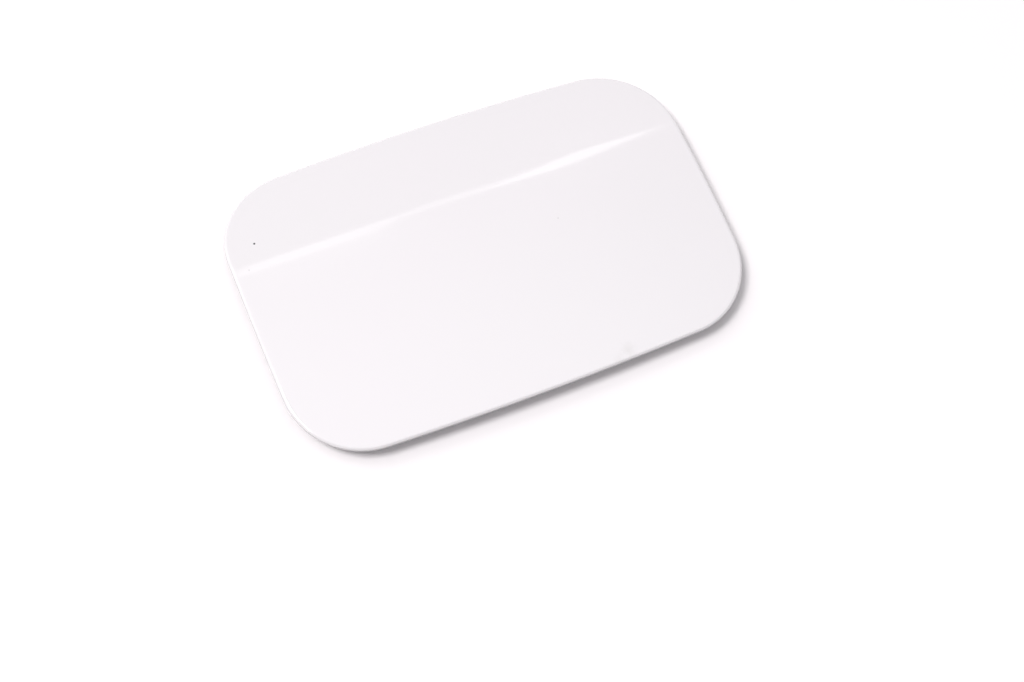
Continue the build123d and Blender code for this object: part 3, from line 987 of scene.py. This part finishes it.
def makeFloor(form):  # pale matt floor, shown a little lighter than it lights the object
    material = bpy.data.materials.new("paleFloor")
    material.use_nodes = True
    tree = material.node_tree
    tree.nodes.clear()
    ray = addNode(tree, "ShaderNodeLightPath")
    seen = mathNode(tree, "MAXIMUM", ray.outputs["Is Camera Ray"], ray.outputs["Is Glossy Ray"])
    seen = mathNode(tree, "MAXIMUM", seen, ray.outputs["Is Transmission Ray"])
    matt = addNode(tree, "ShaderNodeBsdfDiffuse")
    feed(tree, matt, Color=mixColours(tree, seen, form["tint"], form["shownTint"]))
    output = addNode(tree, "ShaderNodeOutputMaterial")
    tree.links.new(matt.outputs[0], output.inputs["Surface"])
    half, low = form["halfSide"], -form["drop"]
    mesh = bpy.data.meshes.new("floor")
    corners = [(-half, -half, low), (half, -half, low), (half, half, low), (-half, half, low)]
    mesh.from_pydata(corners, [], [(0, 1, 2, 3)])
    mesh.materials.append(material)
    placeObject("floor", mesh)


skyForm = {  # level at each height, from the horizon (0) to straight up (1)
    "stops": (
        (0.0, 0.85),
        (0.05, 0.80),
        (0.12, 0.30),
        (0.72, 0.24),
        (0.86, 0.40),
        (0.93, 0.80),
        (0.97, 1.05),
        (1.0, 1.1),
    ),
    "tint": (1.0, 1.0, 1.01),
}


def makeSky(form):  # soft surround: bright low down and overhead, dim between
    world = bpy.data.worlds.new("softSurround")
    scene.world = world
    world.use_nodes = True
    tree = world.node_tree
    background = tree.nodes["Background"]
    place = addNode(tree, "ShaderNodeTexCoord")
    height = addNode(tree, "ShaderNodeSeparateXYZ")
    feed(tree, height, Vector=place.outputs["Generated"])
    ramp = addNode(tree, "ShaderNodeValToRGB")
    brightest = max(level for _, level in form["stops"])
    for up, _ in form["stops"][1:-1]:
        ramp.color_ramp.elements.new(up)
    for element, (up, level) in zip(ramp.color_ramp.elements, form["stops"]):
        element.position = up
        element.color = [tone * level / brightest for tone in form["tint"]] + [1]
    feed(tree, ramp, Fac=height.outputs["Z"])
    tree.links.new(ramp.outputs["Color"], background.inputs["Color"])
    background.inputs["Strength"].default_value = brightest


lampSet = {  # bearing from +X towards +Y and height, in degrees, then metres and watts
    "leftLamp": {"bearing": 165.0, "height": 62.0, "distance": 4.5, "size": (1.3, 1.3), "watts": 117.5,
                 "colour": (1.0, 0.985, 0.98)},
    "sideLamp": {"bearing": 130.0, "height": 45.0, "distance": 3.0, "size": (1.4, 1.4), "watts": 16.0,
                 "colour": (1.0, 0.985, 0.97)},
    "backLamp": {"bearing": 55.8, "height": 50.0, "distance": 1.7, "size": (0.18, 0.37), "watts": 0.36,
                 "colour": (1.0, 0.99, 0.985)},
    "backCard": {"bearing": 81.0, "height": 58.3, "distance": 1.7, "size": (0.29, 0.30), "watts": 0.31,
                 "colour": (1.0, 0.99, 0.985)},
    "middleCard": {"bearing": 66.5, "height": 53.5, "distance": 1.7, "size": (0.20, 0.20), "watts": 0.09,
                   "colour": (1.0, 0.99, 0.985)},
    "frontCard": {"bearing": -56.0, "height": 40.0, "distance": 0.45, "size": (0.25, 0.25), "watts": 0.085,
                  "colour": (1.0, 0.98, 0.985)},
}


def makeLamp(name, part):
    bearing, height = math.radians(part["bearing"]), math.radians(part["height"])
    level = math.cos(height)
    towards = Vector((level * math.cos(bearing), level * math.sin(bearing), math.sin(height)))
    light = bpy.data.lights.new(name, "AREA")
    light.shape = "RECTANGLE"
    light.size, light.size_y = part["size"]
    light.energy = part["watts"]
    light.color = part["colour"]
    lamp = placeObject(name, light)
    lamp.location = towards * part["distance"]
    lamp.rotation_euler = towards.to_track_quat("Z", "Y").to_euler()


viewForm = {  # degrees, metres, and millimetres for the lens
    "turn": 41.012,
    "height": 67.843,
    "roll": -18.979,
    "distance": 0.667,
    "right": 0.020348,
    "up": -0.026678,
    "clipStart": 0.01,
    "lens": 59.867,
    "sensor": 36.0,
}


def makeCamera(form):
    height, roll = math.radians(form["height"]), math.radians(form["roll"])
    back = Vector((0, -math.cos(height), math.sin(height)))
    right = Vector((1, 0, 0))
    up = back.cross(right)
    place = back * form["distance"] + right * form["right"] + up * form["up"]
    across = right * math.cos(roll) - up * math.sin(roll)
    upward = right * math.sin(roll) + up * math.cos(roll)
    pose = Matrix((across, upward, back)).transposed().to_4x4()
    pose.translation = place
    data = bpy.data.cameras.new("photoCamera")
    data.lens = form["lens"]
    data.sensor_width = form["sensor"]
    data.sensor_fit = "HORIZONTAL"
    data.clip_start = form["clipStart"]
    camera = placeObject("photoCamera", data)
    camera.matrix_world = Matrix.Rotation(-math.radians(form["turn"]), 4, "Z") @ pose
    scene.camera = camera


makeFloor(floorForm)
makeSky(skyForm)
for lampName, lampPart in lampSet.items():
    makeLamp(lampName, lampPart)
makeCamera(viewForm)
print("floor, light and camera set")
